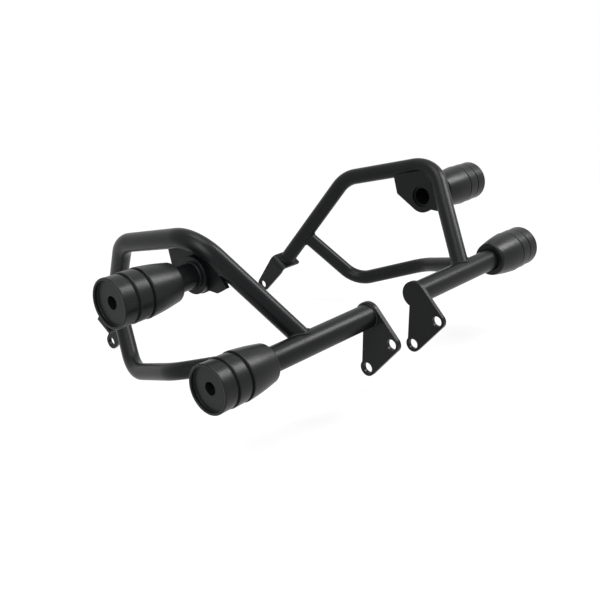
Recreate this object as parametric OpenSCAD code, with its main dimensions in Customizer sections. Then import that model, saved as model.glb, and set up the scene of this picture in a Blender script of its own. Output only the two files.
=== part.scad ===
// Motorcycle crash bars: a left and a right engine guard, each a welded tube frame
// with two screwed-on plastic bumpers. Millimetres, +Z up, -Y towards the front wheel,
// +X to the rider's left. The right bar is the left one mirrored in the plane x = 0.
// The origin lies on the front upper bolt axis, midway between the two bars.

/* [Mounting plate] */
// Distance of the plate's inner face from the middle of the motorcycle
plate_x = 42; // [30:1:60]
// Plate thickness
plate_t = 6; // [4:0.5:8]
// Frame bolt hole diameter in the plate
plate_hole_d = 13; // [8:0.5:14]
// Radius of the plate round each bolt hole
plate_ear_r = 10; // [9:0.5:12]
// Radius of the plate's round head, which the lower tube is welded to
plate_head_r = 16.5; // [15.5:0.5:20]
// Front lower bolt, measured from the front upper bolt towards the rear
low_bolt_y = 32.5; // [26:0.5:40]
// Front lower bolt, measured from the front upper bolt downwards
low_bolt_drop = 39; // [34:0.5:46]
// Distance of the plate's straight rear edge behind the front lower bolt
plate_rear = 8; // [6:0.5:10]

/* [Lower cross tube] */
// Outer diameter of the two tubes that carry the bumpers
carrier_d = 28; // [26:0.5:30]
// Wall of the two tubes that carry the bumpers
carrier_wall = 2.5; // [1.5:0.25:3.5]
// Lower tube axis, measured from the front upper bolt towards the rear
lower_y = 35; // [30:0.5:40]
// Lower tube axis, measured from the front upper bolt upwards
lower_z = 25.5; // [24:0.5:32]
// Distance of the lower tube's outer end from the middle of the motorcycle
lower_end_x = 244; // [225:1:260]

/* [Main loop] */
// Outer diameter of the main loop tube
loop_d = 22; // [20:0.5:24]
// Wall of the main loop tube and of the lower loop tube
loop_wall = 2; // [1.5:0.25:3]
// Where the front leg's axis meets the lower tube's axis
foot_x = 149; // [140:1:160]
// Corner of the front leg and the top run, to the side
front_corner_x = 218; // [212:1:224]
// Corner of the front leg and the top run, to the rear
front_corner_y = 133; // [125:1:140]
// Corner of the front leg and the top run, upwards
front_corner_z = 140; // [132:1:148]
// Corner of the top run and the rear leg, to the side
rear_corner_x = 202; // [195:1:208]
// Corner of the top run and the rear leg, to the rear
rear_corner_y = 274; // [265:1:285]
// Corner of the top run and the rear leg, upwards
rear_corner_z = 98; // [92:1:105]
// Lower end of the rear leg, to the side
leg_end_x = 165; // [162:1:168]
// Lower end of the rear leg, to the rear
leg_end_y = 355; // [350:1:360]
// Lower end of the rear leg, upwards
leg_end_z = -34; // [-40:1:-28]
// Bend radius of the main loop, on the tube's axis
loop_bend_r = 45; // [35:1:55]

/* [Lower loop] */
// Outer diameter of the lower loop tube
brace_d = 20; // [16:0.5:21]
// Share of the rear leg above the place where the lower loop tube is welded on
brace_start = 0.69; // [0.6:0.01:0.75]
// Lower corner of the lower loop tube, to the side
low_corner_x = 212; // [206:1:218]
// Lower corner of the lower loop tube, to the rear
low_corner_y = 256; // [248:1:264]
// Lower corner of the lower loop tube, upwards
low_corner_z = -57; // [-65:1:-50]
// Outermost bend of the lower loop tube, to the side
side_corner_x = 236; // [228:1:240]
// Outermost bend of the lower loop tube, to the rear
side_corner_y = 153; // [145:1:160]
// Outermost bend of the lower loop tube, upwards
side_corner_z = -15; // [-22:1:-8]
// Where the lower loop tube's axis meets the lower tube's axis
brace_foot_x = 188; // [180:1:196]
// Bend radius at the lower corner, on the tube's axis
low_bend_r = 40; // [32:1:48]
// Bend radius at the outermost bend, on the tube's axis
side_bend_r = 60; // [45:1:75]

/* [Upper tube and gusset] */
// Upper tube axis, measured from the front upper bolt towards the rear
upper_y = 141; // [138:0.5:144]
// Upper tube axis, measured from the front upper bolt upwards
upper_z = 94.5; // [92:0.5:97]
// Distance of the upper tube's outer end from the middle of the motorcycle
upper_end_x = 273; // [260:1:285]
// Distance of the gusset plate's inner face from the middle of the motorcycle
gusset_x = 202.5; // [200:0.5:206]
// Gusset plate thickness
gusset_t = 5; // [4:0.5:8]
// Radius of the gusset plate's round lobe below the upper tube
gusset_lobe_r = 22; // [20:0.5:26]
// Length of the hub that stands on the gusset plate
hub_len = 8; // [5:0.5:12]
// Radius of the hub
hub_r = 21; // [18:0.5:22.5]
// Depth of the gusset plate's open hole before the upper tube's inner end
tube_inset = 3; // [1:0.5:4]
// Distance of the gusset plate's rear lower corner behind the upper tube's axis
gusset_rear = 41; // [38:1:46]
// Rounding of the gusset plate's rear lower corner
gusset_round = 4; // [2:0.5:6]
// Height of the gusset plate's straight lower edge below the upper tube's axis
gusset_drop = 15; // [12:0.5:19]
// Distance of the gusset plate's front lower corner before the upper tube's axis
gusset_front = 29; // [26:1:32]
// Where the gusset plate's front edge leaves the leg, measured down from the corner
gusset_leg_gap = 62.5; // [50:0.5:70]
// How far the gusset plate's welded edges stay below the axes of the loop tube
weld_inset = 6; // [4:0.5:8]

/* [Rear bracket] */
// Distance of the rear bracket's inner face from the middle of the motorcycle
bracket_x = 143; // [138:0.5:148]
// Thickness of the folded bracket
bracket_t = 5; // [4:0.5:6]
// Rear bolt, measured from the rear leg's lower end towards the rear
rear_bolt_back = 32; // [28:1:36]
// Rear bolt, measured from the rear leg's lower end downwards
rear_bolt_below = 44.5; // [40:0.5:49]
// Rear bolt hole diameter
rear_hole_d = 11; // [8:0.5:12]
// Radius of the bracket's lower end round the rear bolt hole
bracket_tip_r = 10; // [9:0.5:11]
// Width of the bracket across its fold
bracket_w = 27; // [23:0.5:30]
// Height of the bracket's parallel sides, from the flange down to the taper
bracket_shoulder = 14; // [10:1:20]
// How far the folded flange reaches outwards
flange_reach = 37; // [36:0.5:42]
// Outer radius of the fold
fold_r = 8; // [6:0.5:10]

/* [Bumper] */
// Whole length of a bumper
bumper_len = 81; // [78:1:88]
// Largest radius of a bumper, at the outer end of its barrel
bumper_r = 27.4; // [26:0.1:30]
// Radius of the bumper's barrel where it meets the rounded mouth
mouth_r = 22; // [20:0.5:24]
// Rounding of the mouth's outer edge
mouth_round = 3; // [2:0.5:4]
// How far the barrel bulges past a straight cone, midway
barrel_bulge = 0.6; // [0:0.1:1.5]
// Length of each of the two bands next to the outer rim
band_len = 16.5; // [12:0.5:17]
// How much smaller each band's largest radius is than the one before it
band_step = 0.4; // [0:0.1:1]
// How much each band widens towards its outer end
band_flare = 0.5; // [0:0.1:1.5]
// Width of the groove beside each band
groove_w = 2.5; // [1.5:0.5:4]
// Depth of the groove beside each band
groove_depth = 2.75; // [1:0.25:3.5]
// Rounding of the outer rim and of the bands' edges
band_round = 1; // [0.5:0.25:1.5]
// Width of the raised rim round the outer face
rim_w = 3; // [2:0.5:5]
// Depth of the socket that takes the tube end
socket_depth = 30; // [24:1:34]
// Clearance between the socket and the tube, on the radius
socket_gap = 0.5; // [0.3:0.1:1]
// Depth of the recess in the bumper's outer face
face_recess = 4; // [2:0.5:6]
// Length of bumper wall that the screw clamps
clamp_len = 28; // [24:1:32]
// Clearance between the screw head and its hole, on the radius
head_gap = 0.5; // [0.3:0.1:1]

/* [Joints] */
// Gap between welded pieces
weld_gap = 0.1; // [0:0.05:0.2]

/* [Screw and plug] */
// Screw thread diameter
screw_d = 8; // [6:1:8]
// Screw length under the head
screw_len = 45; // [40:1:50]
// Screw head diameter
screw_head_d = 13; // [12:0.5:14]
// Screw head height
screw_head_h = 8; // [6:0.5:9]
// Width across the flats of the screw's hexagon socket
hex_af = 6; // [5:0.5:7]
// Depth of the screw's hexagon socket
hex_depth = 4; // [3:0.5:5]
// Clearance between the screw and its hole in the bumper, on the radius
screw_gap = 0.5; // [0.3:0.1:1]
// Length of the plug's collar outside the tube
plug_collar = 12; // [8:0.5:16]
// Length of the plug's spigot inside the tube
plug_spigot = 16; // [10:0.5:20]
// Clearance between the screw and the plug's tapped hole, on the radius
thread_gap = 0.1; // [0.05:0.05:0.2]
// Chamfer at the screw's tip
screw_chamfer = 1; // [0.5:0.25:1.5]
// Rounding of the screw head's outer edge
head_round = 0.8; // [0.4:0.1:1.2]
// Clearance between the plug's spigot and the tube wall, on the radius
spigot_gap = 0.1; // [0.05:0.05:0.2]
// Chamfer at the ends of the plug's collar
collar_chamfer = 0.8; // [0.4:0.1:1.2]

/* [Hidden] */
$fn = 96;

// Colours of the powder-coated steel, the bumpers and the screws
steel_colour = "#2b2c2e";
bumper_colour = "#232426";
screw_colour = "#1c1c1d";

// Small overlap of a cutting tool past the face it cuts
eps = 0.5;

// How far a plate's straight edge lies inside the line that touches its round end
edge_dip = 0.05;

// How far a bend laps over its straight neighbours, and how much thicker it is on each side
bend_lap = 1;
bend_skin = 0.05;

carrier_r = carrier_d / 2;
carrier_bore_r = carrier_r - carrier_wall;
loop_r = loop_d / 2;
brace_r = brace_d / 2;

// Corner points of the two bent tubes' axes
foot = [foot_x, lower_y, lower_z];
front_corner = [front_corner_x, front_corner_y, front_corner_z];
rear_corner = [rear_corner_x, rear_corner_y, rear_corner_z];
leg_end = [leg_end_x, leg_end_y, leg_end_z];
brace_top = rear_corner + brace_start * (leg_end - rear_corner);
low_corner = [low_corner_x, low_corner_y, low_corner_z];
side_corner = [side_corner_x, side_corner_y, side_corner_z];
brace_foot = [brace_foot_x, lower_y, lower_z];
// The rear leg's axis runs on past the flange, which cuts the tube off
leg_way = (leg_end - rear_corner) / norm(leg_end - rear_corner);
loop_points = [foot, front_corner, rear_corner, leg_end + leg_way * loop_d];
brace_points = [brace_top, low_corner, side_corner, brace_foot];

function unit(v) = v / norm(v);
// Turn from one direction to the next, in degrees
function turn(u, v) = acos(u * v);
// Length of straight tube that a bend of radius r takes up on each side of its corner
function tangent(u, v, r) = r * tan(turn(u, v) / 2);
// Polar point round a centre, in two dimensions
function polar(c, r, a) = c + r * [cos(a), sin(a)];

// Straight round tube from point a to point b, solid where the bore is 0
module rod(a, b, r, bore) {
    d = b - a;
    translate(a)
        rotate([0, acos(d[2] / norm(d)), atan2(d[1], d[0])])
            difference() {
                cylinder(h = norm(d), r = r);
                if (bore > 0)
                    translate([0, 0, -eps])
                        cylinder(h = norm(d) + 2 * eps, r = bore);
            }
}

// Round bend at corner p, coming in along u and leaving along v
module bend(p, u, v, bend_r, r, bore) {
    start = p - u * tangent(u, v, bend_r);
    axis = unit(cross(u, v));
    outward = cross(u, axis);
    centre = start - outward * bend_r;
    lap_angle = bend_lap / bend_r * 180 / PI;
    multmatrix([
        [outward[0], u[0], axis[0], centre[0]],
        [outward[1], u[1], axis[1], centre[1]],
        [outward[2], u[2], axis[2], centre[2]]
    ])
        rotate([0, 0, -lap_angle])
            rotate_extrude(angle = turn(u, v) + 2 * lap_angle)
                translate([bend_r, 0])
                    difference() {
                        circle(r = r + bend_skin);
                        if (bore > 0)
                            circle(r = bore - bend_skin);
                    }
}

// Bar of radius r along corner points p, bent to the radii in bends
module bent_bar(p, bends, r, bore = 0) {
    n = len(p);
    dir = [for (i = [0 : n - 2]) unit(p[i + 1] - p[i])];
    cut = [for (i = [0 : n - 1]) (i == 0 || i == n - 1) ? 0 : tangent(dir[i - 1], dir[i], bends[i - 1])];
    for (i = [0 : n - 2])
        rod(p[i] + dir[i] * cut[i], p[i + 1] - dir[i] * cut[i + 1], r, bore);
    for (i = [1 : n - 2])
        bend(p[i], dir[i - 1], dir[i], bends[i - 1], r, bore);
}

// Round bar along X from x0 to x1, on the axis at y and z
module cross_bar(x0, x1, y, z, r) {
    translate([x0, y, z])
        rotate([0, 90, 0])
            cylinder(h = x1 - x0, r = r);
}

// Flat plate of thickness t from x0 outwards, its outline drawn in Y and Z
module upright_plate(x0, t) {
    translate([x0, 0, 0])
        rotate([90, 0, 90])
            linear_extrude(height = t)
                children();
}

// Room that the lower tube takes up, with the weld gap round it
module lower_tube_room() {
    cross_bar(plate_x, lower_end_x, lower_y, lower_z, carrier_r + weld_gap);
}

// Room that the main loop takes up, with the weld gap round it
module main_loop_room() {
    bent_bar(loop_points, [loop_bend_r, loop_bend_r], loop_r + weld_gap);
}

// Tube from x0 to x1 that a plug and a bumper go onto
module carrier_tube(x0, x1, y, z) {
    difference() {
        cross_bar(x0, x1, y, z, carrier_r);
        cross_bar(x0 - eps, x1 + eps, y, z, carrier_bore_r);
    }
}

// Points where a straight edge touches two circles, on the left of the way from a to b
function edge_between(a, ra, b, rb) =
    let (way = b - a, lean = asin((ra - rb) / norm(way)), left = atan2(way[1], way[0]) + 90 - lean)
    [polar(a, ra, left), polar(b, rb, left)];

module mounting_plate_blank() {
    head = [lower_y, lower_z];
    upper_ear = [0, 0];
    lower_ear = [low_bolt_y, -low_bolt_drop];
    rear_y = low_bolt_y + plate_rear;
    ear_r = plate_ear_r - edge_dip;
    front_edge = edge_between(upper_ear, ear_r, head, plate_head_r - edge_dip);
    low_edge = edge_between(lower_ear, ear_r, upper_ear, ear_r);
    rear_ear_z = -low_bolt_drop + sqrt(pow(plate_ear_r, 2) - pow(plate_rear, 2));
    outer_x = plate_x + plate_t;
    cross_bar(plate_x, outer_x, head[0], head[1], plate_head_r);
    cross_bar(plate_x, outer_x, upper_ear[0], upper_ear[1], plate_ear_r);
    cross_bar(plate_x, outer_x, lower_ear[0], lower_ear[1], plate_ear_r);
    upright_plate(plate_x, plate_t)
        polygon(concat(
            front_edge,
            [head, [rear_y, lower_z], [rear_y, rear_ear_z], lower_ear],
            low_edge,
            [upper_ear]
        ));
}

module mounting_plate() {
    color(steel_colour)
        difference() {
            mounting_plate_blank();
            cross_bar(plate_x - eps, plate_x + plate_t + eps, 0, 0, plate_hole_d / 2);
            cross_bar(plate_x - eps, plate_x + plate_t + eps, low_bolt_y, -low_bolt_drop, plate_hole_d / 2);
        }
}

module lower_tube() {
    color(steel_colour)
        carrier_tube(plate_x + plate_t, lower_end_x - plug_collar, lower_y, lower_z);
}

module main_loop() {
    color(steel_colour)
        difference() {
            bent_bar(loop_points, [loop_bend_r, loop_bend_r], loop_r, loop_r - loop_wall);
            lower_tube_room();
            bracket_room();
        }
}

module lower_loop() {
    color(steel_colour)
        difference() {
            bent_bar(brace_points, [low_bend_r, side_bend_r], brace_r, brace_r - loop_wall);
            rod(rear_corner, leg_end, loop_r + weld_gap, 0);
            lower_tube_room();
        }
}

// Turned plug in a tube end at x_end, with a tapped hole for the bumper's screw
module plug(x_end, y, z) {
    spigot_r = carrier_bore_r - spigot_gap;
    tapped_r = screw_d / 2 + thread_gap;
    color(steel_colour)
        translate([x_end, y, z])
            rotate([0, 90, 0])
                rotate_extrude()
                    polygon([
                        [tapped_r, 0],
                        [carrier_r - collar_chamfer, 0],
                        [carrier_r, -collar_chamfer],
                        [carrier_r, -plug_collar + collar_chamfer],
                        [carrier_r - collar_chamfer, -plug_collar],
                        [spigot_r, -plug_collar],
                        [spigot_r, -plug_collar - plug_spigot],
                        [tapped_r, -plug_collar - plug_spigot]
                    ]);
}

// Side view of the top run and of the front leg, from the upper tube's axis
run_start = [front_corner_y - upper_y, front_corner_z - upper_z];
run_way = unit([rear_corner_y - front_corner_y, rear_corner_z - front_corner_z]);
front_leg_way = unit([front_corner_y - lower_y, front_corner_z - lower_z]);
// Welded edges: the axes moved inwards, and the corner where the moved lines cross
run_edge = run_start + weld_inset * [run_way[1], -run_way[0]];
leg_edge = run_start + weld_inset * [front_leg_way[1], -front_leg_way[0]];
welded_corner = run_start + weld_inset * (run_way - front_leg_way) / sin(turn(run_way, -front_leg_way));
corner_turn = turn(unit(front_corner - foot), unit(rear_corner - front_corner));
bend_cut = loop_bend_r * tan(corner_turn / 2);

module gusset_blank() {
    low = [gusset_rear - gusset_round, 0];
    toe = [-gusset_front, gusset_round - gusset_drop];
    round_r = gusset_round - edge_dip;
    // The rear edge stands square to the top run
    rear_foot = low + round_r * run_way;
    rear_rise = [-run_way[1], run_way[0]];
    rear_top = rear_foot + rear_rise * ((run_edge - rear_foot) * rear_rise);
    slope_edge = edge_between(low, round_r, [0, 0], gusset_lobe_r - edge_dip);
    toe_edge = edge_between(toe, round_r, leg_edge - front_leg_way * gusset_leg_gap, 0);
    cross_bar(0, gusset_t, 0, 0, gusset_lobe_r);
    cross_bar(0, gusset_t, low[0], low[1], gusset_round);
    cross_bar(0, gusset_t, toe[0], toe[1], gusset_round);
    upright_plate(0, gusset_t)
        polygon([
            rear_top,
            rear_foot,
            low,
            slope_edge[0],
            slope_edge[1],
            [0, 0],
            [0, edge_dip - gusset_drop],
            [toe[0], edge_dip - gusset_drop],
            toe_edge[0],
            toe_edge[1],
            leg_edge - front_leg_way * bend_cut,
            welded_corner,
            run_edge + run_way * bend_cut
        ]);
}

module gusset_plate() {
    color(steel_colour)
        difference() {
            translate([gusset_x, upper_y, upper_z])
                gusset_blank();
            cross_bar(gusset_x - eps, gusset_x + gusset_t + eps, upper_y, upper_z, carrier_r + weld_gap);
            main_loop_room();
        }
}

module gusset_hub() {
    hub_x = gusset_x + gusset_t;
    color(steel_colour)
        difference() {
            cross_bar(hub_x, hub_x + hub_len, upper_y, upper_z, hub_r);
            cross_bar(hub_x - eps, hub_x + hub_len + eps, upper_y, upper_z, carrier_r + weld_gap);
        }
}

module upper_tube() {
    color(steel_colour)
        carrier_tube(gusset_x + tube_inset, upper_end_x - plug_collar, upper_y, upper_z);
}

// The bracket's own frame: origin in the rear bolt hole, Z up along the rear leg, X outwards
bracket_tilt = atan2(leg_end_y - rear_corner_y, rear_corner_z - leg_end_z);
// The leg's end in that frame
seat_y = rear_bolt_below * sin(bracket_tilt) - rear_bolt_back * cos(bracket_tilt);
seat_z = rear_bolt_below * cos(bracket_tilt) + rear_bolt_back * sin(bracket_tilt);

module in_bracket_frame() {
    translate([bracket_x, leg_end_y + rear_bolt_back, leg_end_z - rear_bolt_below])
        rotate([bracket_tilt, 0, 0])
            children();
}

// Everything below the flange's upper face, which cuts the rear leg off
module bracket_room() {
    in_bracket_frame()
        translate([-loop_d, seat_y - 2 * loop_d, seat_z + weld_gap - 3 * loop_d])
            cube([4 * loop_d + flange_reach, 4 * loop_d, 3 * loop_d]);
}

// Folded sheet wider than the bracket: the ear, the fold and the flange
module folded_sheet() {
    bottom = -2 * bracket_tip_r;
    fold_z = seat_z - fold_r;
    side = seat_y - bracket_w;
    translate([0, side, bottom])
        cube([bracket_t, 2 * bracket_w, fold_z - bottom]);
    translate([fold_r, side, seat_z - bracket_t])
        cube([flange_reach - fold_r, 2 * bracket_w, bracket_t]);
    translate([fold_r, side, fold_z])
        rotate([-90, 180, 0])
            rotate_extrude(angle = 90)
                translate([fold_r - bracket_t, 0])
                    square([bracket_t, 2 * bracket_w]);
}

// Bracket seen from the side, from the flange down to the rounded tip
module bracket_silhouette() {
    half = bracket_w / 2;
    shoulder_z = seat_z - bracket_shoulder;
    tip_r = bracket_tip_r - edge_dip;
    rear_edge = edge_between([seat_y + half, shoulder_z], 0, [0, 0], tip_r);
    front_edge = edge_between([0, 0], tip_r, [seat_y - half, shoulder_z], 0);
    cross_bar(-eps, flange_reach + eps, 0, 0, bracket_tip_r);
    upright_plate(-eps, flange_reach + 2 * eps)
        polygon([
            [seat_y + half, seat_z + eps],
            [seat_y + half, shoulder_z],
            rear_edge[1],
            [0, 0],
            front_edge[0],
            [seat_y - half, shoulder_z],
            [seat_y - half, seat_z + eps]
        ]);
}

module rear_bracket() {
    color(steel_colour)
        in_bracket_frame()
            difference() {
                intersection() {
                    folded_sheet();
                    bracket_silhouette();
                }
                cross_bar(-eps, bracket_t + eps, 0, 0, rear_hole_d / 2);
            }
}

// Half section of a bumper: radius against the distance from its mouth
module bumper_section() {
    socket_r = carrier_r + socket_gap;
    screw_hole_r = screw_d / 2 + screw_gap;
    head_hole_r = screw_head_d / 2 + head_gap;
    seat = socket_depth + clamp_len;
    face = bumper_len - face_recess;
    groove_r = bumper_r - groove_depth;
    band_1 = bumper_len - band_len;
    band_2 = band_1 - groove_w - band_len;
    barrel_end = band_2 - groove_w;
    rim_r = bumper_r - 2 * band_step;
    polygon(concat(
        [[socket_r, 0]],
        [for (a = [-90 : 15 : 0]) polar([mouth_r - mouth_round, mouth_round], mouth_round, a)],
        [for (share = [1/6 : 1/6 : 1]) barrel_point(share, barrel_end - band_round)],
        [[bumper_r - band_round, barrel_end]],
        [[groove_r, barrel_end], [groove_r, band_2]],
        band_side(band_2, band_1 - groove_w, bumper_r - band_step),
        [[groove_r, band_1 - groove_w], [groove_r, band_1]],
        band_side(band_1, bumper_len, rim_r),
        [[rim_r - rim_w + band_round, bumper_len], [rim_r - rim_w, bumper_len - band_round]],
        [[rim_r - rim_w, face], [head_hole_r, face], [head_hole_r, seat]],
        [[screw_hole_r, seat], [screw_hole_r, socket_depth], [socket_r, socket_depth]]
    ));
}

// Outside of the barrel, a share of the way from the rounded mouth to its far end
function barrel_point(share, end) = [
    mouth_r + (bumper_r - mouth_r) * share + barrel_bulge * sin(180 * share),
    mouth_round + (end - mouth_round) * share
];

// Outside of a band from one distance to another, its edges broken, with radius r at its outer end
function band_side(from, to, r) = [
    [r - band_flare - band_round, from],
    [r - band_flare, from + band_round],
    [r, to - band_round],
    [r - band_round, to]
];

// Bumper pushed over the tube end at x_end
module bumper(x_end, y, z) {
    color(bumper_colour)
        translate([x_end - socket_depth, y, z])
            rotate([0, 90, 0])
                rotate_extrude()
                    bumper_section();
}

// Socket-head screw that clamps the bumper to the plug at x_end
module screw(x_end, y, z) {
    shank_r = screw_d / 2;
    head_r = screw_head_d / 2;
    color(screw_colour)
        translate([x_end + clamp_len, y, z])
            rotate([0, 90, 0])
                difference() {
                    rotate_extrude()
                        polygon([
                            [0, -screw_len],
                            [shank_r - screw_chamfer, -screw_len],
                            [shank_r, -screw_len + screw_chamfer],
                            [shank_r, 0],
                            [head_r, 0],
                            [head_r, screw_head_h - head_round],
                            [head_r - head_round, screw_head_h],
                            [0, screw_head_h]
                        ]);
                    translate([0, 0, screw_head_h - hex_depth])
                        cylinder(h = hex_depth + eps, d = hex_af / cos(30), $fn = 6);
                }
}

// The right bar is the left one seen in a mirror
module right() {
    mirror([1, 0, 0])
        children();
}

mounting_plate();  // left_mounting_plate
lower_tube();  // left_lower_tube
plug(lower_end_x, lower_y, lower_z);  // left_lower_tube_plug
main_loop();  // left_main_loop
lower_loop();  // left_lower_loop
rear_bracket();  // left_rear_bracket
gusset_plate();  // left_gusset_plate
gusset_hub();  // left_gusset_hub
upper_tube();  // left_upper_tube
plug(upper_end_x, upper_y, upper_z);  // left_upper_tube_plug
bumper(lower_end_x, lower_y, lower_z);  // left_lower_bumper
bumper(upper_end_x, upper_y, upper_z);  // left_upper_bumper
screw(lower_end_x, lower_y, lower_z);  // left_lower_bumper_screw
screw(upper_end_x, upper_y, upper_z);  // left_upper_bumper_screw
right() mounting_plate();  // right_mounting_plate
right() lower_tube();  // right_lower_tube
right() plug(lower_end_x, lower_y, lower_z);  // right_lower_tube_plug
right() main_loop();  // right_main_loop
right() lower_loop();  // right_lower_loop
right() rear_bracket();  // right_rear_bracket
right() gusset_plate();  // right_gusset_plate
right() gusset_hub();  // right_gusset_hub
right() upper_tube();  // right_upper_tube
right() plug(upper_end_x, upper_y, upper_z);  // right_upper_tube_plug
right() bumper(lower_end_x, lower_y, lower_z);  // right_lower_bumper
right() bumper(upper_end_x, upper_y, upper_z);  // right_upper_bumper
right() screw(lower_end_x, lower_y, lower_z);  // right_lower_bumper_screw
right() screw(upper_end_x, upper_y, upper_z);  // right_upper_bumper_screw
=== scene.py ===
"""Dresses the solids of a pair of motorcycle crash bars: smooth tubes, plates with broken edges,
weld beads, turned bumpers, and the coats and plastics that they are finished in.

Lengths are in millimetres in the sizes below and in metres in the meshes. The left bar is worked
out, and the right bar is the same shape with X turned round.
"""

import math

import bmesh
import bpy
import numpy as np
from bpy.props import FloatProperty, FloatVectorProperty, PointerProperty
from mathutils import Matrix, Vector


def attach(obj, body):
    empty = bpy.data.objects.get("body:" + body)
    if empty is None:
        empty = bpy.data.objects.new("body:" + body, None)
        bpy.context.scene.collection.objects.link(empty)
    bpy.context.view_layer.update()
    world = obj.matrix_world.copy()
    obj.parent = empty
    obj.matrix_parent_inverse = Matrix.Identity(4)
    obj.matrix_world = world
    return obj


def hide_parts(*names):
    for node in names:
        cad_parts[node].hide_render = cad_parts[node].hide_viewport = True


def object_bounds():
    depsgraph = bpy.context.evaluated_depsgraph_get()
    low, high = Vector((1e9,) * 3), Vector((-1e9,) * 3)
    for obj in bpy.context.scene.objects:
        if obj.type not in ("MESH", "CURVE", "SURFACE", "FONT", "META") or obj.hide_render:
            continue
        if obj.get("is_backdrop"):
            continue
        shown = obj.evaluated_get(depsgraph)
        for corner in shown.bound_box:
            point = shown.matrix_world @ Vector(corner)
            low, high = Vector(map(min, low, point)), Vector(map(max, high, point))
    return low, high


bl_info = {
    "name": "Crash bars",
    "version": (1, 0, 0),
    "blender": (4, 5, 0),
    "location": "3D View > Sidebar > Crash bars",
    "description": "Makes the dressed crash bars: tubes, plates, welds, bumpers, screws and stage",
    "category": "Object",
}

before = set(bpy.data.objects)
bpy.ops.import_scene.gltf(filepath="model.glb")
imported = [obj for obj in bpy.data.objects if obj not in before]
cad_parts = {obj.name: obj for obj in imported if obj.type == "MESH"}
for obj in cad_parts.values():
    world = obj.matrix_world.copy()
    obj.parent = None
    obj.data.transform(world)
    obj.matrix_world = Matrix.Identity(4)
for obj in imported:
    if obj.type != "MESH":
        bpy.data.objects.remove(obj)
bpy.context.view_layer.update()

MM = 0.001
X_WAY = np.array([1.0, 0.0, 0.0])
Y_WAY = np.array([0.0, 1.0, 0.0])
Z_WAY = np.array([0.0, 0.0, 1.0])
SIDES = {"left": 1, "right": -1}

# Sizes of the solids, in millimetres
CARRIER_R = 14.0
CARRIER_BORE_R = 11.5
LOWER_AXIS = np.array([0.0, 35.0, 25.5])
UPPER_AXIS = np.array([0.0, 141.0, 94.5])
LOWER_END = 244.0
UPPER_END = 273.0
PLATE_FACE = 48.0
GUSSET_FACES = (202.5, 207.5)
UPPER_START = 205.5
HUB_END = 215.5
HUB_R = 21.0
PLUG_COLLAR = 12.0
PLUG_SPIGOT = 16.0
PLUG_CHAMFER = 0.8
PLAY = 0.1
TAPPED_R = 4.1
LOOP_R = 11.0
BRACE_R = 10.0
LOOP_WALL = 2.0
WELD_GAP = 0.1
LOOP_CORNERS = np.array([[149, 35, 25.5], [218, 133, 140], [202, 274, 98], [165, 355, -34]], float)
LOOP_BENDS = (45.0, 45.0)
BRACE_TOP_SHARE = 0.69
BRACE_CORNERS = np.array([[0, 0, 0], [212, 256, -57], [236, 153, -15], [188, 35, 25.5]], float)
BRACE_CORNERS[0] = LOOP_CORNERS[2] + BRACE_TOP_SHARE * (LOOP_CORNERS[3] - LOOP_CORNERS[2])
BRACE_BENDS = (40.0, 60.0)
SOCKET_DEPTH = 30.0
SOCKET_R = 14.5
MOUTH_R = 22.0
MOUTH_ROUND = 3.0
BARREL_END = 43.0
BARREL_R = 27.4
BARREL_BULGE = 0.6
GROOVE_R = 24.65
GROOVE_WIDTH = 2.5
INNER_BAND_R = (26.45, 27.0)
INNER_BAND_END = 62.0
OUTER_BAND_R = (26.05, 26.6)
BUMPER_END = 81.0
RIM_R = 23.6
RIM_DEPTH = 4.0
HEAD_HOLE_R = 7.0
SEAT_X = 58.0
SCREW_HOLE_R = 4.5

# Distance from each end of a loop within which its rings are left out, in millimetres
LOOP_REACH = (24, 6)
BRACE_REACH = (16, 24)

# The gusset plate's welds run between these places along the main loop, in millimetres, and are
# thinner than the other ones
GUSSET_WELD_FRONT_Y = 97
GUSSET_WELD_REAR_Y = 186
GUSSET_WELD_SHARE = 0.8

# Two faces that meet at more than SHARP_ANGLE keep a sharp edge. On the plates, points closer than
# MERGE_MM become one, faces under FLAT_ANGLE become one, and edges over BEVEL_ANGLE are broken
SHARP_ANGLE = math.radians(32)
FLAT_ANGLE = math.radians(0.6)
BEVEL_ANGLE = math.radians(50)
MERGE_MM = 0.004

# Gloss of the dark surfaces
COAT_IOR = 1.23
BUMPER_IOR = 1.27

# Stage, in metres
FLOOR_HALF = 6.0
FADE_START = 0.5
FADE_END = 1.3
FLOOR_WHITE = 0.8
SOFT_LIGHT = 0.4
AIM = np.array([0.0, 0.17, 0.03])
LAMPS = (
    # Name, place, size and share of the lamp power
    ("key", (1.05, -0.45, 1.25), (0.45, 0.9), 0.85),
    ("overhead", (-0.1, 0.2, 1.5), (0.9, 0.9), 0.45),
    ("side_strip", (-1.2, -0.1, 0.7), (0.5, 1.0), 0.4),
)
CAMERA_SPOT = (-0.8333, -0.5689, 0.4386)
CAMERA_TILT = math.radians(68.29)
CAMERA_TURN = math.radians(-48.02)
SENSOR_MM = 36


def linear(code):
    """Linear colour of an sRGB hex value."""
    code = code.lstrip("#")
    parts = np.array([int(code[i : i + 2], 16) / 255 for i in (0, 2, 4)])
    low = parts / 12.92
    high = ((parts + 0.055) / 1.055) ** 2.4
    return tuple(float(v) for v in np.where(parts <= 0.04045, low, high))


# Materials

# Sockets of a Mix node that mixes colours
MIX_FIRST = 6
MIX_SECOND = 7
MIX_RESULT = 2


def add(tree, kind, settings=None, links=None):
    """Adds a node, sets its sockets and fields, and links its inputs from other nodes' outputs."""
    node = tree.nodes.new(kind)
    for key, value in (settings or {}).items():
        if key in node.inputs:
            node.inputs[key].default_value = value
        else:
            setattr(node, key, value)
    for key, (source, output) in (links or {}).items():
        tree.links.new(source.outputs[output], node.inputs[key])
    return node


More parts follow.
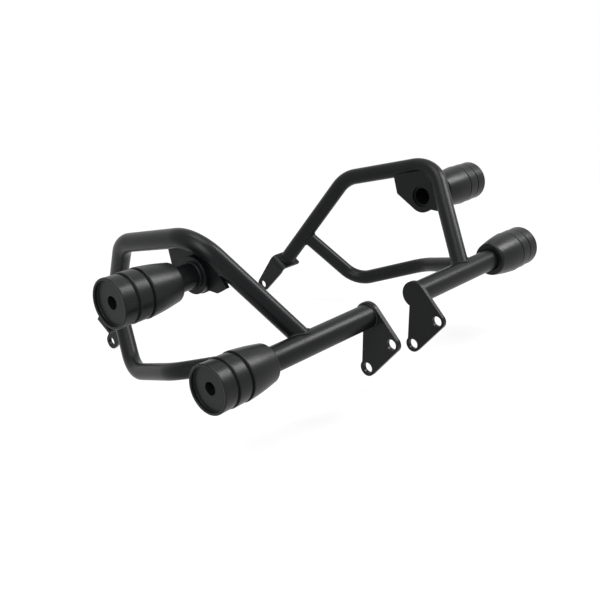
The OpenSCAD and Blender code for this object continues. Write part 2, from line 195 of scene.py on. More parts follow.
def new_material(name):
    """An empty material, its node tree and the node that gives the Object coordinates."""
    material = bpy.data.materials.new(name)
    material.use_nodes = True
    tree = material.node_tree
    tree.nodes.clear()
    coords = add(tree, "ShaderNodeTexCoord")
    return material, tree, coords


def noise(tree, coords, grain_mm, detail, roughness):
    """A cloudy pattern with grains of the given size."""
    settings = {"Scale": 1 / (grain_mm * MM), "Detail": detail, "Roughness": roughness}
    return add(tree, "ShaderNodeTexNoise", settings, {"Vector": (coords, "Object")})


def two_tones(tree, pattern, colour, spread):
    """The colour made darker and lighter by a share, from place to place."""
    tone = add(tree, "ShaderNodeMix", {"data_type": "RGBA"}, {"Factor": (pattern, "Fac")})
    tone.inputs[MIX_FIRST].default_value = (*(np.array(colour) * (1 - spread)), 1)
    tone.inputs[MIX_SECOND].default_value = (*(np.array(colour) * (1 + spread)), 1)
    return tone


def between(tree, pattern, low, high):
    """A value that runs from low to high, from place to place."""
    return add(tree, "ShaderNodeMapRange", {"To Min": low, "To Max": high}, {"Value": (pattern, "Fac")})


def relief(tree, pattern, strength, depth_mm):
    """A bump of the given depth."""
    settings = {"Strength": strength, "Distance": depth_mm * MM}
    return add(tree, "ShaderNodeBump", settings, {"Height": (pattern, "Fac")})


def close_material(tree, shader, gloss, bump):
    """Gives the shader its roughness and bump, and puts it into the material's output."""
    tree.links.new(gloss.outputs["Result"], shader.inputs["Roughness"])
    tree.links.new(bump.outputs["Normal"], shader.inputs["Normal"])
    add(tree, "ShaderNodeOutputMaterial", links={"Surface": (shader, "BSDF")})


def powder_coat(settings):
    """Black satin powder coat on steel: sprayed dry and baked, so the film flows out into a fine
    orange peel that breaks up the long highlights along the tubes."""
    material, tree, coords = new_material("powder_coated_steel")
    # The film's dimples, and its coarser sags
    peel = noise(tree, coords, grain_mm=settings.peel_mm, detail=2.0, roughness=0.5)
    flow = noise(tree, coords, grain_mm=22, detail=3.0, roughness=0.55)
    tone = two_tones(tree, flow, settings.coat_colour, spread=0.14)
    middle = settings.coat_roughness
    gloss = between(tree, flow, low=middle - 0.05, high=middle + 0.06)
    bump = relief(tree, peel, strength=0.22, depth_mm=0.12)
    shader = add(tree, "ShaderNodeBsdfPrincipled", {"IOR": COAT_IOR})
    tree.links.new(tone.outputs[MIX_RESULT], shader.inputs["Base Color"])
    close_material(tree, shader, gloss, bump)
    return material


def turned_polyamide(settings):
    """Black polyamide turned from bar: the tool leaves fine rings round the bumper's axis, which
    lies along X, and the cut surface is a little cloudy."""
    material, tree, coords = new_material("turned_polyamide")
    # A real tool's feed of about 0.2 mm is too fine to show, so the rings lie further apart. The
    # wave node has one ring for every 2 pi / 20 of its scaled coordinate
    rings = add(
        tree,
        "ShaderNodeTexWave",
        {
            "wave_type": "BANDS",
            "bands_direction": "X",
            "Scale": 2 * math.pi / (20 * settings.ring_mm * MM),
            "Distortion": 0.0,
        },
        {"Vector": (coords, "Object")},
    )
    cloud = noise(tree, coords, grain_mm=9, detail=4.0, roughness=0.6)
    tone = two_tones(tree, cloud, settings.bumper_colour, spread=0.18)
    middle = settings.bumper_roughness
    gloss = between(tree, cloud, low=middle - 0.06, high=middle + 0.08)
    bump = relief(tree, rings, strength=0.25, depth_mm=0.06)
    shader = add(tree, "ShaderNodeBsdfPrincipled", {"IOR": BUMPER_IOR})
    tree.links.new(tone.outputs[MIX_RESULT], shader.inputs["Base Color"])
    close_material(tree, shader, gloss, bump)
    return material


def black_oxide(settings):
    """Black-oxide screw steel: a thin conversion layer, so it is metal with a dark, oily sheen."""
    material, tree, coords = new_material("black_oxide_steel")
    grain = noise(tree, coords, grain_mm=0.7, detail=3.0, roughness=0.6)
    gloss = between(tree, grain, low=0.3, high=0.48)
    bump = relief(tree, grain, strength=0.2, depth_mm=0.03)
    metal = {"Base Color": (*settings.screw_colour, 1), "Metallic": 1.0}
    shader = add(tree, "ShaderNodeBsdfPrincipled", metal)
    close_material(tree, shader, gloss, bump)
    return material


MAKERS = {
    "powder_coated_steel": powder_coat,
    "turned_polyamide": turned_polyamide,
    "black_oxide_steel": black_oxide,
}


def material_of(name):
    """The material of that name, made the first time that it is asked for."""
    found = bpy.data.materials.get(name)
    return found or MAKERS[name](bpy.context.scene.crash_bars_finish)


# Shapes


def unit(vectors):
    """The vector, or each row of vectors, at a length of 1."""
    return vectors / np.linalg.norm(vectors, axis=-1, keepdims=True)


def ring(first, second, count):
    """Ways out of an axis, evenly all round it, from two ways that are square to it."""
    angle = np.linspace(0, 2 * math.pi, count, endpoint=False)[:, None]
    return first * np.cos(angle) + second * np.sin(angle)


def grid_faces(rows, columns, wrap_rows, wrap_columns):
    """Four-sided faces of a grid of points, row by row, with the last row or column joined to the
    first where that way wraps round."""
    i = np.arange(rows if wrap_rows else rows - 1)[:, None]
    j = np.arange(columns if wrap_columns else columns - 1)[None, :]
    down = (i + 1) % rows
    across = (j + 1) % columns
    corners = [i * columns + j, i * columns + across, down * columns + across, down * columns + j]
    return np.stack([np.broadcast_to(c, (i.size, j.size)) for c in corners], -1).reshape(-1, 4)


def rounded(points, radii, steps=5):
    """Corner points with each corner turned into a curve: a quadratic that leaves one side and
    joins the next at the given distance from the corner. A corner of radius 0 stays one point."""
    points = np.asarray(points, float)
    radii = np.asarray(radii, float)[:, None]
    before = np.roll(points, 1, 0) - points
    after = np.roll(points, -1, 0) - points
    # Two curves on one side stay apart, since neither takes half of it
    most = 0.48
    reach_in = np.minimum(radii, np.linalg.norm(before, axis=1, keepdims=True) * most)
    reach_out = np.minimum(radii, np.linalg.norm(after, axis=1, keepdims=True) * most)
    start = points + unit(before) * reach_in
    end = points + unit(after) * reach_out
    t = np.linspace(0, 1, steps)[None, :, None]
    curve = start[:, None] * (1 - t) ** 2 + points[:, None] * 2 * t * (1 - t) + end[:, None] * t**2
    curve = curve.reshape(-1, points.shape[1])
    moved = np.linalg.norm(curve - np.roll(curve, 1, 0), axis=1) > 1e-6
    return curve[moved]


def half_section(corners, steps):
    """The outline with corners given as (distance along X, radius, rounding)."""
    corners = np.array(corners, float)
    return rounded(corners[:, :2], corners[:, 2], steps)


def turned(profile, axis, turns=96):
    """A closed profile of (distance along X, radius) carried round an axis parallel to X: the
    angle runs along the columns and the profile along the rows."""
    profile = np.asarray(profile, float)
    angle = np.linspace(0, 2 * math.pi, turns, endpoint=False)
    x = np.broadcast_to(profile[:, :1], (len(profile), turns))
    y = axis[1] + profile[:, 1:] * np.cos(angle)
    z = axis[2] + profile[:, 1:] * np.sin(angle)
    points = np.stack([x, y, z], -1)
    return points.reshape(-1, 3), grid_faces(len(profile), turns, True, True)


def centreline(corners, bends, gap=4.0):
    """Points along straight runs joined by circular bends. A bend of radius b that turns by an
    angle a starts b tan(a / 2) before its corner."""
    way = unit(np.diff(corners, axis=0))
    pieces = [corners[:1]]
    for i, bend in enumerate(bends):
        u, v = way[i], way[i + 1]
        turn = math.acos(float(u @ v))
        inward = unit(v - u * math.cos(turn))
        start = corners[i + 1] - u * bend * math.tan(turn / 2)
        a = np.linspace(0, turn, max(8, int(bend * turn / gap * 2)))[:, None]
        pieces.append(start + bend * (np.sin(a) * u + (1 - np.cos(a)) * inward))
    pieces.append(corners[-1:])
    points = np.concatenate(pieces)
    # Long straight runs get points of their own, evenly spaced
    length = np.linalg.norm(np.diff(points, axis=0), axis=1)
    count = np.maximum(1, np.round(length / gap).astype(int))
    share = np.concatenate([np.arange(n) / n for n in count])
    first = np.repeat(np.arange(len(count)), count)
    fine = points[first] + (points[first + 1] - points[first]) * share[:, None]
    return np.concatenate([fine, points[-1:]])


def frames(path):
    """Unit tangent, and two ways square to it, the first of them square to X as well."""
    way = unit(np.gradient(path, axis=0))
    level = unit(np.cross(way, X_WAY))
    return way, level, np.cross(way, level)


def onto_tube(points, way, axis_point, axis_way, radius):
    """Moves points along their way until their distance from an axis is the radius."""
    square = np.eye(3) - np.outer(axis_way, axis_way)
    p, q = (points - axis_point) @ square, way @ square
    a, b, c = q @ q, p @ q, np.einsum("ij,ij->i", p, p) - radius**2
    s = (-b + np.sqrt(b * b - a * c)) / a
    return points + s[:, None] * way


def onto_plane(points, way, plane_point, normal):
    """Moves points along their way until they lie in a plane."""
    s = ((plane_point - points) @ normal) / (way @ normal)
    return points + s[:, None] * way


def pipe(path, radius, wall, start, end, reach, columns=48):
    """A bent pipe: a circle carried along the path for the skin, and a smaller one carried back
    for the bore. start and end shape the rings at its two ends, which may move as far as reach,
    so the rings that close to an end are left out."""
    way, level, other = frames(path)
    along = np.concatenate([[0], np.cumsum(np.linalg.norm(np.diff(path, axis=0), axis=1))])
    inside = (along > reach[0]) & (along < along[-1] - reach[1])
    inside[[0, -1]] = True
    path, way, level, other = path[inside], way[inside], level[inside], other[inside]
    out = ring(level[:, None], other[:, None], columns)
    skins = []
    for size in (radius, radius - wall):
        rings = path[:, None] + size * out
        rings[0] = start(rings[0], way[0])
        rings[-1] = end(rings[-1], -way[-1])
        skins.append(rings)
    points = np.concatenate([skins[0], skins[1][::-1]])
    return points.reshape(-1, 3), grid_faces(len(points), columns, True, True)


def bead(path, lean, radius, closed, ripple_mm, columns=14):
    """A weld bead: a small circle carried along the joint, its radius rising and falling once for
    every drop of filler, and the way that leans out of the joint given for each point."""
    step = np.linalg.norm(np.roll(path, -1, 0) - path, axis=1)
    along = np.cumsum(step) - step[0]
    total = along[-1] + step[-1] if closed else along[-1]
    waves = max(1, round(total / ripple_mm))
    # Shares of the radius
    drop_height = 0.09
    tip = 0.05
    size = radius * (1 + drop_height * np.sin(2 * math.pi * waves * along / total))
    if closed:
        way = np.roll(path, -1, 0) - np.roll(path, 1, 0)
    else:
        way = np.gradient(path, axis=0)
        # The bead tapers to nothing at both ends of an open joint
        ends = np.minimum(along, total - along)
        size = size * np.clip(np.sqrt(np.clip(ends, 0, None) / (2 * radius)), tip, 1)
    way = unit(way)
    side = unit(np.cross(way, lean))
    up = np.cross(side, way)
    points = path[:, None] + size[:, None, None] * ring(side[:, None], up[:, None], columns)
    faces = grid_faces(len(path), columns, closed, True).tolist()
    if not closed:
        last = (len(path) - 1) * columns
        faces.append(list(range(columns))[::-1])
        faces.append(list(range(last, last + columns)))
    return points.reshape(-1, 3), faces


def tube_on_tube(foot, way, radius, other_point, other_way, other_radius, count=160):
    """The curve where a tube's skin meets another tube's skin. Each line of the first skin is
    followed outwards until its distance from the second axis is that tube's radius."""
    level = unit(np.cross(way, other_way))
    out = ring(level, np.cross(way, level), count)
    points = onto_tube(foot + radius * out, way, other_point, other_way, other_radius)
    square = np.eye(3) - np.outer(other_way, other_way)
    other_out = (points - other_point) @ square / other_radius
    return points, out + other_out


def tube_on_plane(foot, way, radius, plane_point, normal, count=120):
    """The ellipse where a tube's skin meets a plane."""
    level = unit(np.cross(way, X_WAY))
    out = ring(level, np.cross(way, level), count)
    return onto_plane(foot + radius * out, way, plane_point, normal), out + normal


def tube_on_face(centre, count=120):
    """The circle where a carrier tube stands on a face that lies across it."""
    out = ring(Y_WAY, Z_WAY, count)
    return centre + CARRIER_R * out, out + X_WAY


def flange_normal():
    """Way square to the rear bracket's flange: the rear leg's way as seen from the side."""
    way = LOOP_CORNERS[2] - LOOP_CORNERS[3]
    return unit(np.array([0.0, way[1], way[2]]))


def plate_on_tube(path, radius, plate_x):
    """The line where an upright plate's face meets a bent tube's skin, on the tube's lower and
    rear side. The circle round each point of the axis crosses the plane x = plate_x at the angle
    whose sine is the distance to the plane over the radius."""
    _, level, other = frames(path)
    sine = (plate_x - path[:, 0]) / (radius * other[:, 0])
    # Where the plane only grazes the tube there is no joint
    keep = np.abs(sine) < 0.98
    cosine = np.sqrt(1 - np.clip(sine, -1, 1) ** 2)
    side = np.sign(np.median(level[:, 2])) * -1
    points = path + radius * (other * sine[:, None] + level * (side * cosine)[:, None])
    return points, keep, side * level


def longest_stretch(keep):
    """The numbers of the kept points in the longest unbroken stretch. The inner face of the gusset
    plate leaves the tube's skin in the middle of the bend, so its weld ends there."""
    numbers = np.flatnonzero(keep)
    runs = np.split(numbers, np.flatnonzero(np.diff(numbers) > 1) + 1)
    return max(runs, key=len)


# Putting pieces into the scene


def place(name, points, faces, sign, material, nodes=(), weight=True):
    """Makes a mesh of points in millimetres, turned round in X for the right bar, gives it its
    material, slot and body, and hides the CAD nodes that it stands for."""
    points = np.array(points, float) * MM
    faces = [list(f) for f in faces]
    if sign < 0:
        points[:, 0] *= -1
        faces = [f[::-1] for f in faces]
    mesh = bpy.data.meshes.new(name)
    mesh.from_pydata(points.tolist(), [], faces)
    outwards(mesh)
    mesh.polygons.foreach_set("use_smooth", np.ones(len(mesh.polygons), bool))
    mesh.set_sharp_from_angle(angle=SHARP_ANGLE)
    piece = finish_piece(name, mesh, material, nodes)
    if weight:
        even_normals(piece)


def outwards(mesh):
    """Turns every face of a closed mesh to point out of it."""
    shape = bmesh.new()
    shape.from_mesh(mesh)
    if shape.calc_volume(signed=True) < 0:
        bmesh.ops.reverse_faces(shape, faces=shape.faces)
    shape.to_mesh(mesh)
    shape.free()


def finish_piece(name, mesh, material, nodes):
    """Links a mesh as an object and hands it to the frame."""
    mesh.materials.append(material_of(material))
    piece = bpy.data.objects.new(name, mesh)
    bpy.context.scene.collection.objects.link(piece)
    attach(piece, "root")
    if nodes:
        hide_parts(*nodes)
    return piece


def even_normals(piece):
    """Lets the large faces lead the shading of the small ones beside them."""
    piece.modifiers.new("even_normals", "WEIGHTED_NORMAL").keep_sharp = True


def softened_copy(node, name, material, width_mm):
    """Adds a copy of a CAD plate with its triangles merged into flat faces and its edges broken
    by a small bevel."""
    shape = bmesh.new()
    shape.from_mesh(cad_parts[node].data)
    bmesh.ops.remove_doubles(shape, verts=shape.verts, dist=MERGE_MM * MM)
    bmesh.ops.dissolve_limit(shape, angle_limit=FLAT_ANGLE, verts=shape.verts, edges=shape.edges)
    mesh = bpy.data.meshes.new(name)
    shape.to_mesh(mesh)
    shape.free()
    mesh.polygons.foreach_set("use_smooth", np.ones(len(mesh.polygons), bool))
    piece = finish_piece(name, mesh, material, [node])
    bevel = piece.modifiers.new("broken_edges", "BEVEL")
    bevel.width = width_mm * MM
    bevel.segments = 3
    bevel.limit_method = "ANGLE"
    bevel.angle_limit = BEVEL_ANGLE
    even_normals(piece)


def bumper_profile(mouth_x):
    """Half section of a bumper as (distance along X, radius): socket, rounded mouth, bulged
    barrel, two grooves, two bands that widen outwards, rim, sunk face, head hole, seat and screw
    hole. The barrel's radius is a straight line plus half a sine wave."""
    quarter = np.linspace(0, math.pi / 2, 7)
    mouth_x_off = MOUTH_ROUND * (1 - np.cos(quarter))
    mouth_r = MOUTH_R - MOUTH_ROUND * (1 - np.sin(quarter))
    share = np.linspace(0, 1, 15)[1:-1]
    barrel_x = MOUTH_ROUND + (BARREL_END - MOUTH_ROUND) * share
    barrel_r = MOUTH_R + (BARREL_R - MOUTH_R) * share + BARREL_BULGE * np.sin(math.pi * share)
    # Each corner is (distance from the mouth, radius, rounding)
    corners = np.array(
        [
            [BARREL_END, BARREL_R, 1.5],
            [BARREL_END, GROOVE_R, 0.5],
            [BARREL_END + GROOVE_WIDTH, GROOVE_R, 0.5],
            [BARREL_END + GROOVE_WIDTH, INNER_BAND_R[0], 1.4],
            [INNER_BAND_END, INNER_BAND_R[1], 1.4],
            [INNER_BAND_END, GROOVE_R, 0.5],
            [INNER_BAND_END + GROOVE_WIDTH, GROOVE_R, 0.5],
            [INNER_BAND_END + GROOVE_WIDTH, OUTER_BAND_R[0], 1.2],
            [BUMPER_END, OUTER_BAND_R[1], 1.3],
            [BUMPER_END, RIM_R, 1.2],
            [BUMPER_END - RIM_DEPTH, RIM_R, 0.7],
            [BUMPER_END - RIM_DEPTH, HEAD_HOLE_R, 0.5],
            [SEAT_X, HEAD_HOLE_R, 0.2],
            [SEAT_X, SCREW_HOLE_R, 0.3],
            [SOCKET_DEPTH, SCREW_HOLE_R, 0.3],
            [SOCKET_DEPTH, SOCKET_R, 0.3],
            [0.0, SOCKET_R, 0.6],
        ]
    )
    smooth = np.concatenate([np.stack([mouth_x_off, mouth_r], -1), np.stack([barrel_x, barrel_r], -1)])
    points = np.concatenate([smooth, corners[:, :2]])
    radii = np.concatenate([np.zeros(len(smooth)), corners[:, 2]])
    return rounded(points, radii) + [mouth_x, 0]


# Settings


class CrashBarsFinish(bpy.types.PropertyGroup):
    """Colours and surfaces of the coated steel, the bumpers and the screws."""

    coat_colour: FloatVectorProperty(
        name="Coat colour",
        description="Colour of the powder coat",
        subtype="COLOR",
        size=3,
        min=0,
        max=1,
        default=linear("#0e0f10"),
    )
    coat_roughness: FloatProperty(
        name="Coat roughness",
        description="Roughness of the satin powder coat",
        min=0.1,
        max=0.9,
        default=0.33,
    )
    peel_mm: FloatProperty(
        name="Orange peel",
        description="Size of one dimple of the powder coat, in millimetres",
        min=0.5,
        max=5,
        default=1.6,
    )
    bumper_colour: FloatVectorProperty(
        name="Bumper colour",
        description="Colour of the turned polyamide",
        subtype="COLOR",
        size=3,
        min=0,
        max=1,
        default=linear("#0f1011"),
    )
    bumper_roughness: FloatProperty(
        name="Bumper roughness",
        description="Roughness of the turned polyamide",
        min=0.1,
        max=0.9,
        default=0.33,
    )
    ring_mm: FloatProperty(
        name="Turning rings",
        description="Distance between the rings that the tool leaves, in millimetres",
        min=0.3,
        max=4,
        default=0.9,
    )
    screw_colour: FloatVectorProperty(
        name="Screw colour",
        description="Colour of the black-oxide screws",
        subtype="COLOR",
        size=3,
        min=0,
        max=1,
        default=linear("#38383a"),
    )


class CrashBarsWork(bpy.types.PropertyGroup):
    """Sizes of the workmanship that the solids leave out."""

    bead_mm: FloatProperty(
        name="Weld bead",
        description="Radius of the weld beads, in millimetres",
        min=1,
        max=4,
        default=1.7,
    )
    ripple_mm: FloatProperty(
        name="Weld ripple",
        description="Distance between the ripples of a weld bead, in millimetres",
        min=1,
        max=6,
        default=2.2,
    )
    edge_mm: FloatProperty(
        name="Broken edge",
        description="Width of the bevel on the cut edges of the plates, in millimetres",
        min=0.1,
        max=1.5,
        default=0.6,
    )


class CrashBarsStage(bpy.types.PropertyGroup):
    """Floor, light and camera."""

    floor_colour: FloatVectorProperty(
        name="Floor colour",
        description="Colour of the plain floor",
        subtype="COLOR",
        size=3,
        min=0,
        max=1,
        default=linear("#fbfbfb"),
    )
    lens_mm: FloatProperty(
        name="Lens",
        description="Focal length on a sensor 36 mm wide, in millimetres",
        min=20,
        max=200,
        default=56.45,
    )
    lamp_power: FloatProperty(
        name="Lamp power",
        description="Power that each lamp takes its own share of",
        unit="POWER",
        min=0,
        max=200,
        default=31.0,
    )


# Operators


class CRASHBARS_OT_carrier_tubes(bpy.types.Operator):
    """Add the lower and upper tubes with their plugs and hubs"""

    bl_idname = "crashbars.carrier_tubes"
    bl_label = "Carrier tubes"

    def execute(self, context):
        lines = (
            ("lower", LOWER_AXIS, PLATE_FACE, LOWER_END),
            ("upper", UPPER_AXIS, UPPER_START, UPPER_END),
        )
        for side, sign in SIDES.items():
            for level, axis, start, end in lines:
                neck = end - PLUG_COLLAR
                tube = half_section(
                    [
                        [start, CARRIER_R, 0.3],
                        [neck, CARRIER_R, 0.5],
                        [neck, CARRIER_BORE_R, 0.2],
                        [start, CARRIER_BORE_R, 0.2],
                    ],
                    steps=4,
                )
                node = f"{side}_{level}_tube"
                place(f"{node}_dressed", *turned(tube, axis), sign, "powder_coated_steel", [node])
                plug = half_section(
                    [
                        [end, TAPPED_R, 0.4],
                        [end, CARRIER_R - PLUG_CHAMFER, 0.3],
                        [end - PLUG_CHAMFER, CARRIER_R, 0.3],
                        [neck + PLUG_CHAMFER, CARRIER_R, 0.3],
                        [neck, CARRIER_R - PLUG_CHAMFER, 0.3],
                        [neck, CARRIER_BORE_R - PLAY, 0.1],
                        [neck - PLUG_SPIGOT, CARRIER_BORE_R - PLAY, 0.5],
                        [neck - PLUG_SPIGOT, TAPPED_R, 0.3],
                    ],
                    steps=4,
                )
                node = f"{side}_{level}_tube_plug"
                place(f"{node}_dressed", *turned(plug, axis), sign, "powder_coated_steel", [node])
            hub_start = GUSSET_FACES[1]
            hub = half_section(
                [
                    [hub_start, HUB_R, 0.2],
                    [HUB_END, HUB_R, 1.2],
                    [HUB_END, CARRIER_R + PLAY, 0.3],
                    [hub_start, CARRIER_R + PLAY, 0.1],
                ],
                steps=6,
            )
            node = f"{side}_gusset_hub"
            place(f"{node}_dressed", *turned(hub, UPPER_AXIS), sign, "powder_coated_steel", [node])
        return {"FINISHED"}


class CRASHBARS_OT_loop_tubes(bpy.types.Operator):
    """Add the bent tubes of the main loop and the lower loop"""

    bl_idname = "crashbars.loop_tubes"
    bl_label = "Loop tubes"

    def execute(self, context):
        rear_way = unit(LOOP_CORNERS[3] - LOOP_CORNERS[2])

        def on_lower_tube(points, way):
            return onto_tube(points, way, LOWER_AXIS, X_WAY, CARRIER_R + WELD_GAP)

        def on_rear_leg(points, way):
            return onto_tube(points, way, LOOP_CORNERS[2], rear_way, LOOP_R + WELD_GAP)

        def on_flange(points, way):
            normal = flange_normal()
            return onto_plane(points, way, LOOP_CORNERS[3] + normal * WELD_GAP, normal)

        pipes = {
            "main_loop": pipe(
                centreline(LOOP_CORNERS, LOOP_BENDS),
                LOOP_R,
                LOOP_WALL,
                on_lower_tube,
                on_flange,
                LOOP_REACH,
            ),
            "lower_loop": pipe(
                centreline(BRACE_CORNERS, BRACE_BENDS),
                BRACE_R,
                LOOP_WALL,
                on_rear_leg,
                on_lower_tube,
                BRACE_REACH,
            ),
        }
        for side, sign in SIDES.items():
            for part, shape in pipes.items():
                node = f"{side}_{part}"
                place(f"{node}_dressed", *shape, sign, "powder_coated_steel", [node], weight=False)
        return {"FINISHED"}


class CRASHBARS_OT_plates(bpy.types.Operator):
    """Add the mounting plates, gusset plates and rear brackets with broken edges"""

    bl_idname = "crashbars.plates"
    bl_label = "Plates and brackets"

    def execute(self, context):
        width = context.scene.crash_bars_work.edge_mm
        for side in SIDES:
            for part in ("mounting_plate", "gusset_plate", "rear_bracket"):
                node = f"{side}_{part}"
                softened_copy(node, f"{node}_dressed", "powder_coated_steel", width)
        return {"FINISHED"}


class CRASHBARS_OT_welds(bpy.types.Operator):
    """Add the weld beads where the tubes, plates and brackets meet"""

    bl_idname = "crashbars.welds"
    bl_label = "Weld beads"

    def execute(self, context):
        work = context.scene.crash_bars_work
        leg_way = unit(LOOP_CORNERS[1] - LOOP_CORNERS[0])
        rear_way = unit(LOOP_CORNERS[2] - LOOP_CORNERS[3])
        brace_up = unit(BRACE_CORNERS[2] - BRACE_CORNERS[3])
        brace_down = unit(BRACE_CORNERS[1] - BRACE_CORNERS[0])
        foot, rear_corner, leg_end = LOOP_CORNERS[0], LOOP_CORNERS[2], LOOP_CORNERS[3]
        joints = {
            "front_leg_weld": tube_on_tube(foot, leg_way, LOOP_R, LOWER_AXIS, X_WAY, CARRIER_R),
            "lower_loop_front_weld": tube_on_tube(
                BRACE_CORNERS[3], brace_up, BRACE_R, LOWER_AXIS, X_WAY, CARRIER_R
            ),
            "lower_loop_rear_weld": tube_on_tube(
                BRACE_CORNERS[0], brace_down, BRACE_R, rear_corner, rear_way, LOOP_R
            ),
            "rear_leg_weld": tube_on_plane(leg_end, rear_way, LOOP_R, leg_end, flange_normal()),
            "mounting_plate_weld": tube_on_face(LOWER_AXIS + X_WAY * PLATE_FACE),
            "hub_weld": tube_on_face(UPPER_AXIS + X_WAY * HUB_END),
        }
        path = centreline(LOOP_CORNERS, LOOP_BENDS, gap=1.0)
        thin = work.bead_mm * GUSSET_WELD_SHARE
        for side, sign in SIDES.items():
            for name, (points, lean) in joints.items():
                shape = bead(points, lean, work.bead_mm, True, work.ripple_mm)
                place(f"{side}_{name}", *shape, sign, "powder_coated_steel", weight=False)
            for name, plate_x, out in zip(("inner", "outer"), GUSSET_FACES, (-1, 1)):
                points, keep, down = plate_on_tube(path, LOOP_R, plate_x)
                keep &= (path[:, 1] > GUSSET_WELD_FRONT_Y) & (path[:, 1] < GUSSET_WELD_REAR_Y)
                run = longest_stretch(keep)
                lean = down[run] + out * X_WAY
                shape = bead(points[run], lean, thin, False, work.ripple_mm)
                place(f"{side}_gusset_{name}_weld", *shape, sign, "powder_coated_steel", weight=False)
        return {"FINISHED"}


class CRASHBARS_OT_bumpers(bpy.types.Operator):
    """Add the turned bumpers on the tube ends"""

    bl_idname = "crashbars.bumpers"
    bl_label = "Bumpers"

    def execute(self, context):
        for side, sign in SIDES.items():
            for level, axis, end in (("lower", LOWER_AXIS, LOWER_END), ("upper", UPPER_AXIS, UPPER_END)):
                node = f"{side}_{level}_bumper"
                shape = turned(bumper_profile(end - SOCKET_DEPTH), axis, turns=128)
                place(f"{node}_dressed", *shape, sign, "turned_polyamide", [node])
        return {"FINISHED"}


class CRASHBARS_OT_screws(bpy.types.Operator):
    """Finish the socket-head screws that hold the bumpers"""

    bl_idname = "crashbars.screws"
    bl_label = "Screws"

    def execute(self, context):
        for side in SIDES:
            for level in ("lower", "upper"):
                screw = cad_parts[f"{side}_{level}_bumper_screw"]
                screw.data.materials.clear()
                screw.data.materials.append(material_of("black_oxide_steel"))
        return {"FINISHED"}


class CRASHBARS_OT_stage(bpy.types.Operator):
    """Add the floor, the light and the camera"""

    bl_idname = "crashbars.stage"
    bl_label = "Stage"

    def execute(self, context):
        stage = context.scene.crash_bars_stage
        add_floor(stage)
        add_world()
        add_lamps(stage)
        add_camera(stage)
        context.scene.view_settings.view_transform = "Standard"
        return {"FINISHED"}


def add_floor(stage):
    """A plain pale floor at the height of the bars' lowest point."""
    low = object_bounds()[0][2]
    half = FLOOR_HALF
    mesh = bpy.data.meshes.new("floor")
    corners = [(-half, -half, low), (half, -half, low), (half, half, low), (-half, half, low)]
    mesh.from_pydata(corners, [], [(0, 1, 2, 3)])
    material, tree, coords = new_material("floor_paint")
    paint = add(
        tree,
        "ShaderNodeBsdfPrincipled",
        {"Base Color": (*stage.floor_colour, 1), "Roughness": 0.9, "Specular IOR Level": 0.0},
    )
    glow = add(tree, "ShaderNodeEmission", {"Color": (1, 1, 1, 1), "Strength": 1.0})
    # Seen directly or in a gloss, the floor fades into the white surround away from the bars
    seen = seen_or_mirrored(tree)
    distance = add(tree, "ShaderNodeVectorMath", {"operation": "LENGTH"}, {0: (coords, "Object")})
    fade = add(
        tree,
        "ShaderNodeMapRange",
        {"From Min": FADE_START, "From Max": FADE_END, "To Min": FLOOR_WHITE, "To Max": 1.0},
        {"Value": (distance, "Value")},
    )
    share = add(tree, "ShaderNodeMath", {"operation": "MULTIPLY"}, {0: (seen, 0), 1: (fade, 0)})
    add(tree, "ShaderNodeOutputMaterial", links={"Surface": (mixed(tree, share, paint, glow), 0)})
    mesh.materials.append(material)
    floor = bpy.data.objects.new("floor", mesh)
    bpy.context.scene.collection.objects.link(floor)
    floor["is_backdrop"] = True


def mixed(tree, share, first, second):
    """The first shader where the share is 0 and the second where it is 1."""
    return add(tree, "ShaderNodeMixShader", links={0: (share, 0), 1: (first, 0), 2: (second, 0)})


def seen_or_mirrored(tree):
    """1 for rays from the camera and for mirrored and transmitted ones, 0 for the others."""
    rays = add(tree, "ShaderNodeLightPath")
    first = add(
        tree,
        "ShaderNodeMath",
        {"operation": "MAXIMUM"},
        {0: (rays, "Is Camera Ray"), 1: (rays, "Is Glossy Ray")},
    )
    return add(
        tree,
        "ShaderNodeMath",
        {"operation": "MAXIMUM"},
        {0: (first, 0), 1: (rays, "Is Transmission Ray")},
    )


def add_world():
    """A white surround for the camera and for gloss, and a soft even light for everything else."""
    world = bpy.data.worlds.new("studio")
    bpy.context.scene.world = world
    world.use_nodes = True
    tree = world.node_tree
    tree.nodes.clear()
    seen = seen_or_mirrored(tree)
    soft = add(tree, "ShaderNodeBackground", {"Color": (1, 1, 1, 1), "Strength": SOFT_LIGHT})
    white = add(tree, "ShaderNodeBackground", {"Color": (1, 1, 1, 1), "Strength": 1.0})
    add(tree, "ShaderNodeOutputWorld", links={"Surface": (mixed(tree, seen, soft, white), 0)})


def add_lamps(stage):
    """The key lamp that draws the streaks along the tubes, a soft one overhead and a side one."""
    for name, spot, size, share in LAMPS:
        data = bpy.data.lights.new(name, "AREA")
        data.shape = "RECTANGLE"
        data.size, data.size_y = size
        data.energy = stage.lamp_power * share
        lamp = bpy.data.objects.new(name, data)
        lamp.location = spot
        aim = AIM - np.array(spot)
        level = math.hypot(aim[0], aim[1])
        lamp.rotation_euler = (math.atan2(level, -aim[2]), 0, math.atan2(aim[1], aim[0]) - math.pi / 2)
        bpy.context.scene.collection.objects.link(lamp)


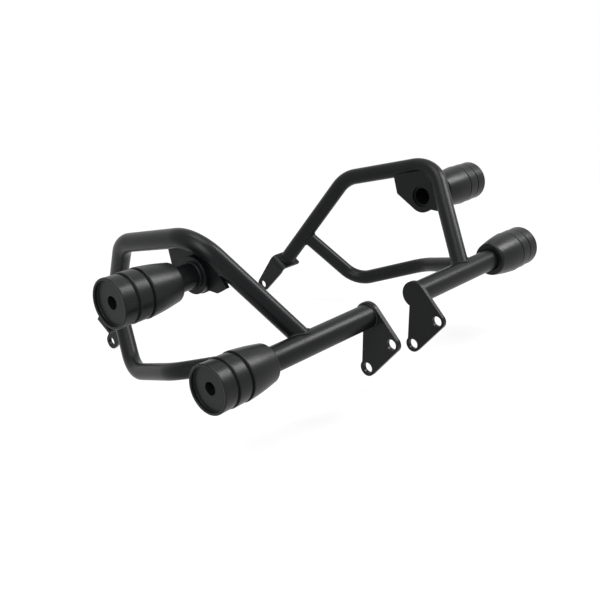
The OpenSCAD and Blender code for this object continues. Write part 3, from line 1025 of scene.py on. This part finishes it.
def add_camera(stage):
    """The camera, at the viewing angle solved from the two mirrored bars."""
    data = bpy.data.cameras.new("camera")
    data.lens = stage.lens_mm
    data.sensor_width = SENSOR_MM
    data.clip_start = 0.01
    data.clip_end = 50
    camera = bpy.data.objects.new("camera", data)
    camera.location = CAMERA_SPOT
    camera.rotation_euler = (CAMERA_TILT, 0, CAMERA_TURN)
    bpy.context.scene.collection.objects.link(camera)
    bpy.context.scene.camera = camera


class CRASHBARS_PT_panel(bpy.types.Panel):
    """Lists the settings and the steps"""

    bl_idname = "CRASHBARS_PT_panel"
    bl_label = "Crash bars"
    bl_space_type = "VIEW_3D"
    bl_region_type = "UI"
    bl_category = "Crash bars"

    def draw(self, context):
        column = self.layout.column()
        for group in (
            context.scene.crash_bars_finish,
            context.scene.crash_bars_work,
            context.scene.crash_bars_stage,
        ):
            for name in group.__annotations__:
                column.prop(group, name)
        for operator in OPERATORS:
            column.operator(operator.bl_idname)


GROUPS = {
    "crash_bars_finish": CrashBarsFinish,
    "crash_bars_work": CrashBarsWork,
    "crash_bars_stage": CrashBarsStage,
}
OPERATORS = (
    CRASHBARS_OT_carrier_tubes,
    CRASHBARS_OT_loop_tubes,
    CRASHBARS_OT_plates,
    CRASHBARS_OT_welds,
    CRASHBARS_OT_bumpers,
    CRASHBARS_OT_screws,
    CRASHBARS_OT_stage,
)
CLASSES = (*GROUPS.values(), *OPERATORS, CRASHBARS_PT_panel)


def register():
    """Makes the settings, steps and panel known to Blender."""
    for cls in CLASSES:
        bpy.utils.register_class(cls)
    for name, group in GROUPS.items():
        setattr(bpy.types.Scene, name, PointerProperty(type=group))


def unregister():
    """Takes them out again."""
    for name in GROUPS:
        delattr(bpy.types.Scene, name)
    for cls in reversed(CLASSES):
        bpy.utils.unregister_class(cls)


def main():
    """Runs every step."""
    register()
    bpy.ops.crashbars.carrier_tubes()
    bpy.ops.crashbars.loop_tubes()
    bpy.ops.crashbars.plates()
    bpy.ops.crashbars.welds()
    bpy.ops.crashbars.bumpers()
    bpy.ops.crashbars.screws()
    bpy.ops.crashbars.stage()


if __name__ == "__main__":
    main()
